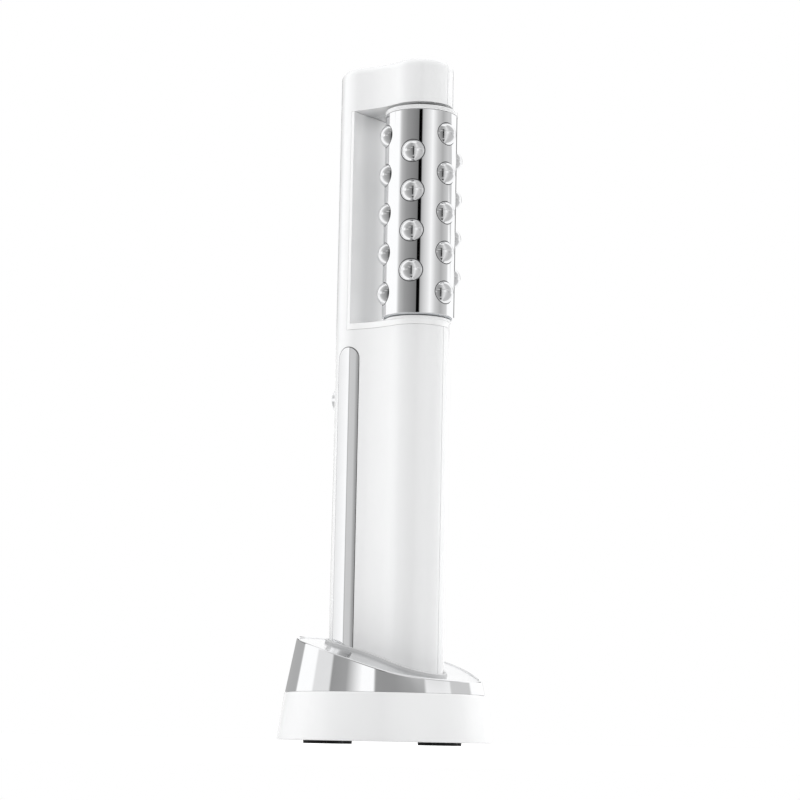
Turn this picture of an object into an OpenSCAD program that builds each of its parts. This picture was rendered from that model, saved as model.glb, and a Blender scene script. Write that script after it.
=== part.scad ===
// Facial toning wand with a studded roller, standing in its round charging cradle.
// Millimetres, +Z up. The origin is the middle of the cradle on the table.
// The roller faces -Y, the power button faces +Y.

/* [Handle] */
// Radius of each of the two round lobes of the handle
lobe_r = 10.5; // [9.8:0.1:11.6]
// Distance between the centres of the two lobes
lobe_spacing = 20.8; // [19.6:0.2:22.4]
// Radius of the shallow hollow between the lobes
waist_r = 38; // [24:1:60]
// Wall of the two handle shells
shell_t = 1.6; // [1.3:0.1:1.9]
// Length of the handle from its foot to the seam under the roller
handle_h = 124.1; // [120:0.1:140]
// Height of the roller window from the seam to the underside of the head
window_h = 74.9; // [66:0.1:84]
// Height of the head above the window
head_h = 15.5; // [11:0.5:20]
// Radius of the rounded upper edge of the head
crown_r = 3; // [1:0.1:3]
// Gap between the two shells at their seam
seam_gap = 0.1; // [0.04:0.02:0.2]
// Thickness of the plug plate that closes the foot of the handle
foot_cap_t = 2; // [1.5:0.1:3]

/* [Roller bay] */
// Thickness of the sill under the roller
sill_t = 2.1; // [1.6:0.1:3]
// Thickness of the bay's back panel
bay_t = 1.2; // [1:0.1:1.6]
// How far the seam of the back panel lies behind the rear lobe's centre
bay_rim = 0.8; // [0.2:0.1:1.6]

/* [Roller] */
// Outer radius of the polished roller sleeve
roller_r = 12; // [11:0.1:12.6]
// Wall of the roller sleeve
sleeve_t = 0.8; // [0.6:0.1:1.4]
// Gap between the sill and the sleeve
roller_gap_low = 1.4; // [1:0.1:3]
// Gap between the sleeve and the underside of the head
roller_gap_up = 2.9; // [2.3:0.1:5]
// Height of the collar on the roller's upper end
collar_h = 1.4; // [0.8:0.1:1.8]
// Radius of the steel axle
axle_r = 2; // [1.5:0.1:2.5]
// Radius of each stud where it meets the sleeve
stud_r = 3.6; // [2.8:0.1:4.2]
// Height of each stud above the sleeve
stud_h = 2.1; // [1.4:0.1:2.6]
// Distance between two studs in one column
stud_pitch = 13.35; // [12:0.05:14]
// Studs in the long columns, the short columns have one less
stud_rows = 5; // [3:1:5]
// Columns of studs around the roller
stud_columns = 6; // [4:2:6]
// Turn of the first long column from +X towards +Y at rest
stud_phase = 22.5; // [0:0.5:60]

/* [Side strips] */
// Half width of each metal contact strip
strip_w = 4.1; // [3:0.1:5]
// Distance from the seam under the roller down to the strip's upper end
strip_drop = 5.9; // [5:0.1:24]
// Height of the strip's lower end above the handle's foot
strip_low = 8; // [6:0.5:14]
// How far the strip stands proud of the shell
strip_proud = 0.2; // [0.1:0.05:0.4]
// Thickness of the strip
strip_t = 0.8; // [0.6:0.1:1]

/* [Button] */
// Radius of the power button
button_r = 4.5; // [3.5:0.1:4.8]
// Distance from the seam under the roller down to the button's centre
button_drop = 22.1; // [18:0.1:28]
// How far the button stands proud of the shell
button_proud = 0.7; // [0.3:0.1:1.2]
// Travel of the button
button_travel = 0.6; // [0.3:0.1:0.8]
// Radius of the status light
light_r = 1.2; // [0.8:0.1:1.6]
// Height of the status light above the button's centre
light_rise = 10; // [8:0.5:12]

/* [Inside the handle] */
// Radius of the battery cell
cell_r = 7; // [6:0.1:7.2]
// Length of the battery cell
cell_h = 50; // [40:0.5:50]
// Gap between the battery cell and the motor above it
cell_gap = 11; // [9:0.5:19]
// Radius of the vibration motor
motor_r = 5; // [4:0.1:5.5]
// Length of the vibration motor
motor_h = 12; // [10:0.5:14]
// Distance from the seam under the roller down to the motor's lower end
motor_drop = 25.1; // [24:0.1:28]
// Thickness of the circuit board
board_t = 1.2; // [0.8:0.1:1.6]
// Half width of the circuit board
board_w = 6.6; // [5.5:0.1:7]
// Distance from the seam under the roller down to the circuit board's upper end
board_drop = 8.1; // [6:0.1:14]
// Radius of a shell screw's shank
screw_r = 1.1; // [0.9:0.1:1.3]

/* [Cradle] */
// Radius of the white skirt at the table
skirt_r0 = 35.1; // [34:0.1:40]
// Radius of the white skirt at its upper edge
skirt_r1 = 32.9; // [32:0.05:38]
// Height of the white skirt
skirt_h = 15.3; // [15:0.1:18]
// Wall of the white skirt
skirt_t = 1.8; // [1.4:0.1:2.4]
// Step from the skirt's upper edge in to the polished band
band_step = 0.3; // [0.1:0.1:0.8]
// How much the band's radius narrows per millimetre of height
band_taper = 0.19; // [0:0.01:0.22]
// Wall of the band beside the deck
band_t = 1.1; // [0.9:0.1:1.4]
// Height of the rim above the table where its rear arch turns over into the front sweep
rim_z = 23.7; // [23:0.1:28]
// Slope of the rim at that turn, where it is steepest
rim_slope = 19.3; // [12:0.1:20]
// Distance of the turn in front of the cradle's axis
rim_turn = 16.5; // [14:0.5:20]
// Radius of the rim's gentle arch behind the turn
arch_r = 260; // [200:5:400]
// Radius of the rim's hollow sweep in front of the turn
sweep_r = 60; // [50:5:90]
// How far the deck lies below the rim
deck_drop = 0.4; // [0.2:0.1:0.8]
// Thickness of the deck
deck_t = 1.6; // [1.2:0.1:2]
// Height of the handle's seat above the table
seat_z = 12; // [11.5:0.1:13]
// Gap between the handle and the well that holds it
well_gap = 0.5; // [0.4:0.05:0.8]
// Wall and floor of the well
well_t = 1.3; // [1:0.1:1.4]

/* [Cradle underside] */
// Thickness of the rubber feet below the skirt
foot_t = 1; // [0.8:0.1:1.5]
// Radius of a rubber foot
foot_r = 6.4; // [4:0.1:6.4]
// Distance of the feet from the cradle's axis
foot_ring = 25.8; // [23:0.1:25.8]
// Turn of the feet about the cradle's axis
foot_turn = -12; // [-12:1:8]
// Thickness of the base plate
plate_t = 2; // [1.8:0.1:2.4]
// Distance from the skirt's narrower edge in to the axes of the four posts
post_inset = 9; // [8:0.05:9.75]
// Radius of a post
post_r = 3; // [2.6:0.1:3.2]
// Height of the ballast ring
ballast_h = 5; // [3:0.5:6]
// Half width of the power inlet
inlet_w = 4.5; // [4:0.1:5]
// Height of the power inlet
inlet_h = 3.2; // [3:0.1:3.4]
// Depth of the power inlet
inlet_d = 7.3; // [6:0.1:8]

/* [Clearances] */
// Radial clearance of a part that turns on the axle or slides in a bore
run_gap = 0.05; // [0.02:0.01:0.08]
// Radial clearance of a part that is pressed or seated in place
seat_gap = 0.05; // [0.02:0.01:0.1]
// Clearance around a part that is laid in a pocket or travels in a hole
lay_gap = 0.15; // [0.1:0.01:0.25]

/* [Hidden] */
$fn = 96;
EPS = 0.01;                                   // overlap of solids that are joined
OVER = 1;                                     // how far a cut runs past what it cuts
FAR = 400;                                    // beyond every side of the part

// Colours
white_plastic = [0.95, 0.95, 0.95];
inner_plastic = [0.8, 0.82, 0.84];
mirror_metal = [0.78, 0.79, 0.8];
steel = [0.62, 0.63, 0.65];
black_rubber = [0.05, 0.05, 0.05];
board_green = [0.1, 0.35, 0.22];
copper = [0.72, 0.42, 0.2];

// Heights
z_foot = seat_z + seat_gap;                   // handle's foot in the cradle
z_shell = z_foot + foot_cap_t;                // lower edge of the shells
z_seam = z_foot + handle_h;                   // seam under the roller
z_sill = z_seam + sill_t;                     // upper face of the sill
z_head = z_seam + window_h;                   // underside of the head
z_crown = z_head + head_h;                    // top of the wand
z_roller = z_sill + roller_gap_low;           // lower edge of the sleeve
roller_h = window_h - sill_t - roller_gap_low - roller_gap_up;
z_roller_top = z_roller + roller_h;
z_plate = foot_t + plate_t;                   // upper face of the base plate
z_skirt = foot_t + skirt_h;                   // upper edge of the skirt

// Plan of the handle
lobe_y = lobe_spacing / 2;
axis_sum = lobe_r + waist_r;
waist_x = sqrt(axis_sum * axis_sum - lobe_y * lobe_y);
rim_y = lobe_y + bay_rim;                     // seam of the bay's back panel
panel_y = rim_y - bay_t;                      // front face of the bay's back panel
inner_r = lobe_r - shell_t;

// Heights above the handle's foot
strip_top = handle_h - strip_drop;
button_z = handle_h - button_drop;
motor_z = handle_h - motor_drop;              // lower end of the motor
cell_z = motor_z - cell_gap - cell_h;         // lower end of the cell
screw_low = 22;                               // lowest of the three shell screws
screw_drop = 28.1;                            // uppermost screw below the seam
screw_top = handle_h - screw_drop;
screw_heights = [screw_low, (screw_low + screw_top) / 2, screw_top];
board_low = 26;
board_h = handle_h - board_drop - board_low;

// Strip, screws, button and board
strip_out = lobe_r + strip_proud;
strip_in = strip_out - strip_t;
pocket_r = strip_in - seat_gap;
screw_bite = 6;                               // how far a shell screw reaches past the seam
screw_head_r = 2 * screw_r;
screw_head_t = 1.4;
screw_head_x = pocket_r - 0.6;                // outer face of a screw head, under the strip
recess_w = 0.5;                               // cross recess of every screw
recess_l = 2.6;
recess_t = 0.7;
boss_r = screw_head_r + 0.5;
board_y = lobe_y + boss_r + 0.4;              // front face of the main board
button_flange_t = 0.7;
button_flange_r = button_r + 0.6;
button_flange_y = lobe_y + sqrt(pow(inner_r, 2) - pow(button_flange_r, 2)) - 0.25;
switch_tip_y = button_flange_y - button_flange_t - button_travel - 0.1;
switch_w = 5.2;
switch_tip_r = 1.5;
plug_h = 4;                                   // how far the foot's plug reaches into the shells
foot_edge = [0.3, 0.6];                       // inset and height of the step around the foot

// Frame, cell, motor and coil inside the handle
frame_r = inner_r - 0.3;
frame_front = -lobe_y + frame_r - 1;          // front face of the frame's web
frame_back = frame_front + 1.8;
frame_low = screw_low;                        // lower end of the web above the handle's foot
web_w = 11;
ring_h = 3;
shelf_rise = 10;                              // each shelf of the board above a shell screw
shelf_w = 10;
shelf_t = 2;
cell_cap = [2.6, 1.5];                        // radius and height of the cell's positive end
motor_hub = [1.6, 1];
shaft_r = 0.75;
shaft_in = 5;                                 // how far the weight's shaft reaches into the motor
shaft_bore = 6;
shaft_out = 5;
weight_r = motor_r - 0.6;
weight_h = 4.2;
weight_rise = 0.4;                            // gap between the motor and the weight
weight_back = 1;                              // how far the half-round weight reaches past the shaft
rx_coil_r = [3, inner_r - 2.4];               // inner and outer radius of the receiving coil

// Roller
bush_r = axle_r + 1.6;
bush_play = 0.1;
bush_low = 3;                                 // lower bush below the seam
bush_high = 5;                                // upper bush above the head's underside
bush_seat = 1.4;                              // wall around a bush
axle_high = 5.5;                              // axle above the head's underside
axle_low = 2.8;                               // axle below the seam
cap_drop = 0.2;                               // how far the lower cap stands below the sleeve
cap_h = 7;
collar_r = roller_r + 0.1;
cap_r = roller_r - sleeve_t - seat_gap;
cap_wall = [1.15, 1.8];                        // wall of a cap's ring and of its hub
cap_web = 1.5;                                // end wall of a cap
stud_ball = (stud_r * stud_r + stud_h * stud_h) / (2 * stud_h);
shank_r = 1.1;
shank_in = roller_r - sleeve_t - 1;           // inner end of a stud's shank
shank_out = 0.8;                              // how far the shank runs into the stud
tongue_h = 1.5;                               // tongue of the bay inside the shells

// Cradle
band_r0 = skirt_r1 - band_step;
// height of the band's cone before it is cut
cone_h = rim_z + (rim_turn + skirt_r1) * tan(rim_slope);
band_r_top = band_r0 - band_taper * cone_h;
deck_rest = 1;                                // width of the ledge under the deck
deck_low = deck_drop + deck_t;                // how far the deck's underside lies below the rim
post_ring = min(skirt_r0, skirt_r1) - post_inset;
post_angles = [35, 145, 215, 325];
foot_angles = [for (i = [0:3]) foot_turn + 90 * i];
board_z = z_plate + 1.5;                      // underside of the charger board
charger_t = 1.2;
charger_w = 26;
charger_y = [-16, 14];                        // front and back edge of the charger board
tongue_y = 14.5;                              // length of the board's tongue under the inlet
standoff = [10, 12];                          // places of the board's four standoffs
standoff_r = 2;
coil_t = 1.5;
coil_r = [5, 13];                             // inner and outer radius of the sending coil
head_drop = 0.1;                              // screw heads above the underside of the plate
plate_screw_head = 1.15;
plate_screw_l = 9;
foot_sink = 0.6;                              // how far the feet are sunk into the plate
inlet_z = board_z + charger_t + inlet_h / 2;  // middle of the power inlet
inlet_face = skirt_at(inlet_z) - 0.8;
inlet_wall = 0.35;                            // sheet of the inlet, half its tongue
inlet_room = 2;                               // free width on each side of the inlet
ballast_out = min(skirt_at(z_plate), skirt_at(z_plate + ballast_h)) - skirt_t - 0.3;
ballast_in = post_ring + post_r + 0.4;
plate_r = min(skirt_r0, skirt_at(z_plate)) - skirt_t - lay_gap;

// Outer radius of the skirt at height z
function skirt_at(z) = skirt_r0 - (skirt_r0 - skirt_r1) * (z - foot_t) / skirt_h;

// ---- Plan and helper solids ----

// Straight prism on the handle's two-lobed outline, set in by "inset"
module lobed(inset, z0, z1) {
    r = lobe_r - inset;
    reach = r / axis_sum;
    translate([0, 0, z0]) difference() {
        union() {
            for (s = [-1, 1]) translate([0, s * lobe_y, 0]) cylinder(h = z1 - z0, r = r);
            translate([-reach * waist_x, -lobe_y * (1 - reach), 0])
                cube([2 * reach * waist_x, 2 * lobe_y * (1 - reach), z1 - z0]);
        }
        for (s = [-1, 1]) translate([s * waist_x, 0, -OVER])
            cylinder(h = z1 - z0 + 2 * OVER, r = waist_r + inset, $fn = 240);
    }
}

// Everything on one side of the seam, s = -1 for -X and 1 for +X
module side_space(s) {
    translate([s > 0 ? seam_gap / 2 : -FAR - seam_gap / 2, -FAR / 2, -FAR / 2])
        cube([FAR, FAR, 2 * FAR]);
}

// Block that spans Y from y0 to y1 and Z from z0 to z1
module slab(y0, y1, z0, z1) {
    translate([-FAR / 2, y0, z0]) cube([FAR, y1 - y0, z1 - z0]);
}

// Section along Y of all that lies below the rim, with the turn at height 0
module rim_section() {
    rise = [sin(rim_slope), cos(rim_slope)];
    intersection() {
        translate([-rim_turn + arch_r * rise[0], -arch_r * rise[1]]) circle(r = arch_r, $fn = 720);
        translate([-rim_turn, -FAR]) square([FAR, 2 * FAR]);
    }
    difference() {
        translate([-FAR, -FAR]) square([FAR - rim_turn + EPS, FAR]);
        translate([-rim_turn - sweep_r * rise[0], sweep_r * rise[1]]) circle(r = sweep_r, $fn = 360);
    }
}

// Everything below the rim's sweep when that is lowered by "drop"
module below_rim(drop) {
    translate([-FAR / 2, 0, rim_z - drop]) rotate([90, 0, 90]) linear_extrude(height = FAR) rim_section();
}

// Cylinder along Y with its axis at height z
module y_rod(r, y0, y1, z) {
    translate([0, y0, z]) rotate([-90, 0, 0]) cylinder(h = y1 - y0, r = r);
}

// Cylinder along X in the rear lobe's middle plane
module x_rod(r, x0, x1, z) {
    translate([x0, lobe_y, z]) rotate([0, 90, 0]) cylinder(h = x1 - x0, r = r);
}

// ---- Handle ----

// Long slot with round ends, cut along X on one side of the rear lobe
module strip_slot(s, grow) {
    reach = 2 * lobe_r;
    for (z = [z_foot + strip_low + strip_w, z_foot + strip_top - strip_w])
        x_rod(strip_w + grow, s > 0 ? 0 : -reach, s > 0 ? reach : 0, z);
    translate([s > 0 ? 0 : -reach, lobe_y - strip_w - grow, z_foot + strip_low + strip_w])
        cube([reach, 2 * (strip_w + grow), strip_top - strip_low - 2 * strip_w]);
}

// Tube about the rear lobe's axis
module rear_tube(r_in, r_out, z0, z1) {
    translate([0, lobe_y, z0]) difference() {
        cylinder(h = z1 - z0, r = r_out);
        translate([0, 0, -OVER]) cylinder(h = z1 - z0 + 2 * OVER, r = r_in);
    }
}

// Section of what the rounded upper edge takes away, for a wall at distance r
module edge_section(r) {
    difference() {
        translate([r - crown_r, 0]) square(crown_r + OVER);
        translate([r - crown_r, 0]) circle(r = crown_r);
    }
}

// Solid head and body of the handle with its rounded upper edge
module crown() {
    base = z_crown - crown_r;
    difference() {
        lobed(0, z_shell, z_crown);
        // round each lobe
        for (s = [-1, 1]) intersection() {
            translate([0, s * lobe_y, base]) rotate([0, 0, s * 90]) rotate_extrude() edge_section(lobe_r);
            slab(s > 0 ? lobe_y : -FAR / 2, s > 0 ? FAR / 2 : -lobe_y, base - OVER, z_crown + 2 * OVER);
        }
        // along the sides between their centres
        for (s = [0, 180]) rotate([0, 0, s]) translate([0, lobe_y, base])
            rotate([90, 0, 0]) linear_extrude(lobe_spacing) edge_section(lobe_r);
    }
}

// Hollow of the closed handle: grip, spine behind the bay, and head
module handle_hollow() {
    lobed(shell_t, z_shell - OVER, z_seam);
    intersection() {
        lobed(shell_t, z_seam - OVER, z_head + shell_t + OVER);
        slab(rim_y, FAR / 2, z_seam - OVER, z_head + shell_t + OVER);
    }
    lobed(shell_t, z_head + shell_t, z_crown - shell_t);
}

module handle_shell(s) {
    button_abs = z_foot + button_z;
    color(white_plastic) intersection() {
        side_space(s);
        difference() {
            union() {
                difference() {
                    crown();
                    handle_hollow();
                }
                // bosses of the shell screws
                intersection() {
                    lobed(shell_t / 2, z_shell, z_seam);
                    for (h = screw_heights) x_rod(boss_r, -lobe_r, lobe_r, z_foot + h);
                }
                // seat of the upper bush
                translate([0, -lobe_y, z_head]) cylinder(h = axle_high + 0.5, r = bush_r + bush_seat);
            }
            // window in front of the bay's seam
            slab(-FAR / 2, rim_y, z_seam, z_head);
            // bush and axle
            translate([0, -lobe_y, z_head - OVER]) cylinder(h = OVER + bush_high + 0.2, r = bush_r + seat_gap);
            translate([0, -lobe_y, z_head]) cylinder(h = axle_high + 0.5 + OVER, r = axle_r + lay_gap);
            // pockets of the contact strips
            for (side = [-1, 1]) intersection() {
                strip_slot(side, lay_gap);
                rear_tube(pocket_r, 2 * lobe_r, z_foot, z_seam);
            }
            // shell screws
            for (h = screw_heights) {
                x_rod(screw_head_r + lay_gap, screw_head_x - screw_head_t, 2 * lobe_r, z_foot + h);
                x_rod(screw_r + lay_gap, 0, screw_head_x, z_foot + h);
                x_rod(screw_r + run_gap, -screw_bite - lay_gap, 0, z_foot + h);
            }
            // button and status light
            y_rod(button_r + lay_gap, board_y, 2 * rim_y + lobe_r, button_abs);
            y_rod(light_r + lay_gap, board_y, 2 * rim_y + lobe_r, button_abs + light_rise);
        }
    }
}

module handle_shell_left() { handle_shell(-1); }
module handle_shell_right() { handle_shell(1); }

module foot_cap() {
    color(white_plastic) {
        lobed(foot_edge[0], z_foot, z_foot + foot_edge[1]);
        lobed(0, z_foot + foot_edge[1], z_shell - seat_gap);
        lobed(shell_t + lay_gap, z_shell - seat_gap - EPS, z_shell + plug_h);
    }
}

module roller_bay() {
    color(white_plastic) difference() {
        union() {
            intersection() {
                lobed(0, z_seam + seat_gap, z_sill);
                slab(-FAR / 2, rim_y - seat_gap, z_seam, z_sill);
            }
            intersection() {
                lobed(0, z_seam + seat_gap, z_head - seat_gap);
                slab(panel_y, rim_y - seat_gap, z_seam, z_head);
            }
            // tongue that plugs into the shells, with the lower bush's seat
            intersection() {
                lobed(shell_t + lay_gap, z_seam - tongue_h, z_seam + OVER);
                slab(-FAR / 2, panel_y, z_seam - tongue_h, z_seam + OVER);
            }
            translate([0, -lobe_y, z_seam - bush_low - 0.4])
                cylinder(h = bush_low + 0.4 + sill_t / 2, r = bush_r + bush_seat);
        }
        translate([0, -lobe_y, z_seam - bush_low - OVER])
            cylinder(h = bush_low + sill_t + 2 * OVER, r = bush_r + seat_gap);
    }
}

// ---- Inside the handle ----

module inner_frame() {
    top = z_foot + motor_z + motor_h - motor_hub[1];
    color(inner_plastic) difference() {
        union() {
            // web between the lobes
            translate([-web_w / 2, frame_front, z_foot + frame_low])
                cube([web_w, frame_back - frame_front, top - z_foot - frame_low]);
            // rings around the cell and the motor
            for (h = [cell_z + ring_h, cell_z + cell_h - 2 * ring_h])
                translate([0, -lobe_y, z_foot + h]) cylinder(h = ring_h, r = frame_r);
            translate([0, -lobe_y, z_foot + motor_z + 1]) cylinder(h = motor_h - 2, r = frame_r);
            // floors under the cell and the motor
            for (h = [cell_z, motor_z])
                translate([0, -lobe_y, z_foot + h - shelf_t]) cylinder(h = shelf_t - EPS, r = frame_r);
            // shelves that carry the board
            for (h = screw_heights)
                translate([-shelf_w / 2, frame_front, z_foot + h + shelf_rise])
                    cube([shelf_w, board_y - seat_gap - frame_front, shelf_t]);
        }
        translate([0, -lobe_y, z_foot + cell_z - seat_gap]) cylinder(h = cell_h + OVER, r = cell_r + lay_gap);
        translate([0, -lobe_y, z_foot + motor_z - seat_gap])
            cylinder(h = 2 * motor_h, r = motor_r + lay_gap);
    }
}

module main_board() {
    color(board_green) translate([-board_w, board_y, z_foot + board_low]) cube([2 * board_w, board_t, board_h]);
}

module battery_cell() {
    color("seagreen") translate([0, -lobe_y, z_foot + cell_z]) {
        cylinder(h = cell_h - cell_cap[1], r = cell_r);
        translate([0, 0, cell_h - cell_cap[1] - EPS]) cylinder(h = cell_cap[1] + EPS, r = cell_cap[0]);
    }
}

module vibration_motor() {
    color(steel) translate([0, -lobe_y, z_foot + motor_z]) difference() {
        union() {
            cylinder(h = motor_h - motor_hub[1], r = motor_r);
            cylinder(h = motor_h, r = motor_hub[0]);
        }
        translate([0, 0, motor_h - shaft_bore]) cylinder(h = shaft_bore + OVER, r = shaft_r + run_gap);
    }
}

module eccentric_weight() {
    color(copper) translate([0, -lobe_y, z_foot + motor_z + motor_h]) {
        translate([0, 0, -shaft_in]) cylinder(h = shaft_in + shaft_out, r = shaft_r);
        translate([0, 0, weight_rise]) intersection() {
            cylinder(h = weight_h, r = weight_r);
            translate([-FAR / 2, weight_back - FAR, -OVER]) cube([FAR, FAR, weight_h + 2 * OVER]);
        }
    }
}

module receiving_coil() {
    color(copper) translate([0, 0, z_shell + plug_h + seat_gap]) difference() {
        cylinder(h = coil_t, r = rx_coil_r[1]);
        translate([0, 0, -OVER]) cylinder(h = coil_t + 2 * OVER, r = rx_coil_r[0]);
    }
}

module shell_screws() {
    color(steel) for (h = screw_heights) difference() {
        union() {
            x_rod(screw_head_r, screw_head_x - screw_head_t, screw_head_x, z_foot + h);
            x_rod(screw_r, -screw_bite, screw_head_x - EPS, z_foot + h);
        }
        // cross recess
        for (a = [0, 90]) translate([screw_head_x - recess_t, lobe_y, z_foot + h]) rotate([a, 0, 0])
            translate([0, -recess_l / 2, -recess_w / 2]) cube([recess_t + OVER, recess_l, recess_w]);
    }
}

module contact_strip(s) {
    color(mirror_metal) intersection() {
        rear_tube(strip_in, strip_out, z_foot, z_seam);
        strip_slot(s, 0);
    }
}

module contact_strip_left() { contact_strip(-1); }
module contact_strip_right() { contact_strip(1); }

module power_button() {
    z = z_foot + button_z;
    color(mirror_metal) {
        intersection() {
            y_rod(button_r, button_flange_y - EPS, FAR, z);
            rear_tube(light_r, lobe_r + button_proud, z - 2 * button_r, z + 2 * button_r);
        }
        y_rod(button_flange_r, button_flange_y - button_flange_t, button_flange_y, z);
    }
}

module button_switch() {
    z = z_foot + button_z;
    low = board_y + board_t + seat_gap;
    color("dimgray") {
        translate([-switch_w / 2, low, z - switch_w / 2])
            cube([switch_w, (switch_tip_y - low) * 0.6, switch_w]);
        y_rod(switch_tip_r, low, switch_tip_y, z);
    }
}

module status_light() {
    z = z_foot + button_z + light_rise;
    color("white") intersection() {
        y_rod(light_r, board_y + board_t + seat_gap, FAR, z);
        rear_tube(light_r / 2, lobe_r, z - 2 * light_r, z + 2 * light_r);
    }
}

// ---- Roller ----

module roller_axle() {
    color(steel) translate([0, -lobe_y, z_seam - axle_low])
        cylinder(h = z_head + axle_high - z_seam + axle_low, r = axle_r);
}

module axle_bushes() {
    color("dimgray") for (e = [[z_seam - bush_low, z_roller - cap_drop - bush_play],
            [z_roller_top + collar_h + bush_play, z_head + bush_high]])
        translate([0, -lobe_y, e[0]]) difference() {
            cylinder(h = e[1] - e[0], r = bush_r);
            translate([0, 0, -OVER]) cylinder(h = e[1] - e[0] + 2 * OVER, r = axle_r + run_gap / 2);
        }
}

// Places its children at every stud, with +Z pointing out of the roller
module at_studs() {
    middle = z_roller + roller_h / 2;
    for (c = [0 : stud_columns - 1]) {
        count = stud_rows - c % 2;
        for (i = [0 : count - 1])
            translate([0, -lobe_y, middle + (i - (count - 1) / 2) * stud_pitch])
                rotate([0, 0, stud_phase + c * 360 / stud_columns]) rotate([0, 90, 0]) children();
    }
}

module roller_sleeve() {
    color(mirror_metal) difference() {
        translate([0, -lobe_y, z_roller]) cylinder(h = roller_h, r = roller_r);
        translate([0, -lobe_y, z_roller - OVER]) cylinder(h = roller_h + 2 * OVER, r = roller_r - sleeve_t);
        at_studs() translate([0, 0, roller_r - sleeve_t - OVER])
            cylinder(h = sleeve_t + 2 * OVER, r = shank_r + seat_gap);
    }
}

module massage_studs() {
    color(mirror_metal) at_studs() {
        difference() {
            translate([0, 0, roller_r + stud_h - stud_ball]) rotate([90, 0, 0]) sphere(r = stud_ball);
            rotate([0, 90, 0]) translate([0, 0, -roller_h / 2]) cylinder(h = roller_h, r = roller_r + seat_gap);
        }
        translate([0, 0, shank_in]) cylinder(h = roller_r + shank_out - shank_in, r = shank_r);
    }
}

module roller_cap_upper() {
    color(inner_plastic) translate([0, -lobe_y, z_roller_top]) difference() {
        union() {
            translate([0, 0, seat_gap]) cylinder(h = collar_h - seat_gap, r = collar_r);
            translate([0, 0, -cap_h]) cylinder(h = cap_h + collar_h / 2, r = cap_r);
        }
        translate([0, 0, -cap_h - OVER]) cylinder(h = cap_h + collar_h + 2 * OVER, r = axle_r + run_gap);
        // hollow underside around the hub
        translate([0, 0, -cap_h - OVER]) difference() {
            cylinder(h = cap_h + OVER - cap_web, r = cap_r - cap_wall[0]);
            translate([0, 0, -OVER]) cylinder(h = cap_h + 2 * OVER, r = axle_r + cap_wall[1]);
        }
        // the studs' shanks end in this ring
        cap_notches(-z_roller_top);
    }
}

module roller_cap_lower() {
    color(inner_plastic) translate([0, -lobe_y, z_roller]) difference() {
        translate([0, 0, -cap_drop]) cylinder(h = cap_h + cap_drop, r = cap_r);
        translate([0, 0, -cap_drop - OVER]) cylinder(h = cap_h + cap_drop + 2 * OVER, r = axle_r + run_gap);
        translate([0, 0, cap_web]) difference() {
            cylinder(h = cap_h, r = cap_r - cap_wall[0]);
            translate([0, 0, -OVER]) cylinder(h = cap_h + 2 * OVER, r = axle_r + cap_wall[1]);
        }
        cap_notches(-z_roller);
    }
}

// Room in a cap's ring for the shanks of the studs
module cap_notches(dz) {
    translate([0, lobe_y, dz]) at_studs()
        translate([0, 0, shank_in - lay_gap]) cylinder(h = 2 * roller_r, r = shank_r + lay_gap);
}

// ---- Cradle ----

// Solid cone of the band, set in by "inset"
module band_cone(inset, z0) {
    translate([0, 0, z0]) cylinder(h = cone_h,
        r1 = band_r0 - inset - band_taper * (z0 - z_skirt),
        r2 = band_r_top - inset - band_taper * (z0 - z_skirt));
}

module cradle_band() {
    color(mirror_metal) difference() {
        intersection() {
            band_cone(0, z_skirt + seat_gap);
            below_rim(0);
        }
        band_cone(band_t + deck_rest, z_skirt - OVER);
        difference() {
            band_cone(band_t, z_skirt - OVER);
            below_rim(deck_low + seat_gap);
        }
    }
}

module cradle_deck() {
    color([0.72, 0.73, 0.74]) difference() {
        union() {
            intersection() {
                band_cone(band_t + lay_gap, z_skirt - OVER);
                difference() {
                    below_rim(deck_drop);
                    below_rim(deck_low);
                }
            }
            // posts down to the base plate
            intersection() {
                for (a = post_angles) rotate([0, 0, a]) translate([post_ring, 0, z_plate + seat_gap])
                    cylinder(h = cone_h, r = post_r);
                below_rim(deck_low - deck_t / 2);
            }
        }
        lobed(-well_gap, 0, 2 * cone_h);
        for (a = post_angles) rotate([0, 0, a]) translate([post_ring, 0, 0])
            cylinder(h = foot_t + plate_screw_l + OVER, r = screw_r + run_gap);
    }
}

module cradle_well() {
    color(white_plastic) difference() {
        intersection() {
            lobed(-well_gap - well_t, seat_z - well_t, 2 * cone_h);
            below_rim(deck_low + seat_gap);
        }
        lobed(-well_gap, seat_z, 2 * cone_h + OVER);
    }
}

module cradle_skirt() {
    wall = skirt_r0 - skirt_r1;
    color(white_plastic) difference() {
        translate([0, 0, foot_t]) cylinder(h = skirt_h, r1 = skirt_r0, r2 = skirt_r1);
        translate([0, 0, foot_t - EPS]) cylinder(h = skirt_h - skirt_t, r1 = skirt_r0 - skirt_t,
            r2 = skirt_r0 - skirt_t - wall * (skirt_h - skirt_t) / skirt_h);
        // opening inside the band's ledge
        cylinder(h = FAR, r = band_r0 - band_t - 2 * deck_rest);
        // mouth for the power inlet
        translate([-inlet_w - lay_gap, 0, inlet_z - inlet_h / 2 - lay_gap])
            cube([2 * (inlet_w + lay_gap), 2 * skirt_r0, inlet_h + 2 * lay_gap]);
    }
}

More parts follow.
